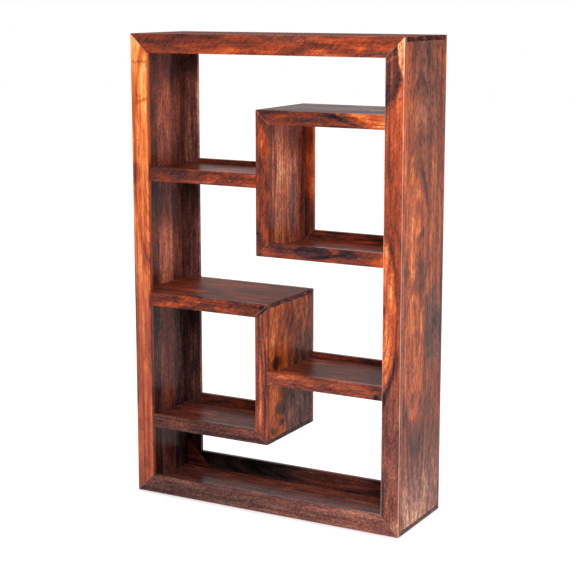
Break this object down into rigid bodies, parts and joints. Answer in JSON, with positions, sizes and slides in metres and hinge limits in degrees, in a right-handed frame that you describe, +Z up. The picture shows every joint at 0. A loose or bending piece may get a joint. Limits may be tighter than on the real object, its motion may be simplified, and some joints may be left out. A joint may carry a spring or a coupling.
{
  "type": "open cube storage unit",
  "caption": "Tall open display unit in lacquered rosewood, with hanging cube boxes and offset shelves in a mitred case, open from front to back.",
  "frame": {"origin": "on the floor, under the middle of the unit", "axes": "+Z up, along the height; +X towards the side that the upper box hangs on; -Y towards the front"},
  "size_m": [1.105, 0.36, 1.75],
  "materials": {
    "honey_rosewood": "satin lacquer over bright honey-orange sapwood with red grain",
    "ember_rosewood": "satin lacquer over bright red-orange heartwood",
    "russet_rosewood": "satin lacquer over red-brown heartwood",
    "cocoa_rosewood": "satin lacquer over dark brown heartwood with red streaks",
    "plum_rosewood": "satin lacquer over near-black purple heartwood",
    "dowel_beech": "bare pale beech, turned"
  },
  "bodies": {
    "root": {"front_left_stile": "honey_rosewood", "front_right_stile": "russet_rosewood", "front_top_rail": "ember_rosewood", "front_bottom_rail": "russet_rosewood", "back_left_stile": "cocoa_rosewood", "back_right_stile": "cocoa_rosewood", "back_top_rail": "cocoa_rosewood", "back_bottom_rail": "plum_rosewood", "top_board": "russet_rosewood", "bottom_board": "cocoa_rosewood", "left_side_panel": "cocoa_rosewood", "right_side_panel": "cocoa_rosewood", "top_left_corner_brace": "cocoa_rosewood", "top_right_corner_brace": "cocoa_rosewood", "bottom_left_corner_brace": "cocoa_rosewood", "bottom_right_corner_brace": "cocoa_rosewood", "upper_box_front_top_rail": "ember_rosewood", "upper_box_front_bottom_rail": "russet_rosewood", "upper_box_front_left_stile": "russet_rosewood", "upper_box_back_top_rail": "cocoa_rosewood", "upper_box_back_bottom_rail": "cocoa_rosewood", "upper_box_back_left_stile": "cocoa_rosewood", "upper_box_top_board": "russet_rosewood", "upper_box_bottom_board": "russet_rosewood", "upper_box_left_panel": "cocoa_rosewood", "upper_shelf_front_rail": "cocoa_rosewood", "upper_shelf_back_rail": "cocoa_rosewood", "upper_shelf_board": "russet_rosewood", "lower_box_front_top_rail": "ember_rosewood", "lower_box_front_bottom_rail": "russet_rosewood", "lower_box_front_right_stile": "ember_rosewood", "lower_box_back_top_rail": "cocoa_rosewood", "lower_box_back_bottom_rail": "cocoa_rosewood", "lower_box_back_right_stile": "cocoa_rosewood", "lower_box_top_board": "russet_rosewood", "lower_box_bottom_board": "russet_rosewood", "lower_box_right_panel": "cocoa_rosewood", "lower_shelf_front_rail": "ember_rosewood", "lower_shelf_back_rail": "cocoa_rosewood", "lower_shelf_board": "russet_rosewood", "upper_box_front_top_dowel": "dowel_beech", "upper_box_front_bottom_dowel": "dowel_beech", "upper_box_back_top_dowel": "dowel_beech", "upper_box_back_bottom_dowel": "dowel_beech", "upper_shelf_front_box_dowel": "dowel_beech", "upper_shelf_front_case_dowel": "dowel_beech", "upper_shelf_back_box_dowel": "dowel_beech", "upper_shelf_back_case_dowel": "dowel_beech", "lower_box_front_top_dowel": "dowel_beech", "lower_box_front_bottom_dowel": "dowel_beech", "lower_box_back_top_dowel": "dowel_beech", "lower_box_back_bottom_dowel": "dowel_beech", "lower_shelf_front_box_dowel": "dowel_beech", "lower_shelf_front_case_dowel": "dowel_beech", "lower_shelf_back_box_dowel": "dowel_beech", "lower_shelf_back_case_dowel": "dowel_beech"}
  },
  "joints": []
}
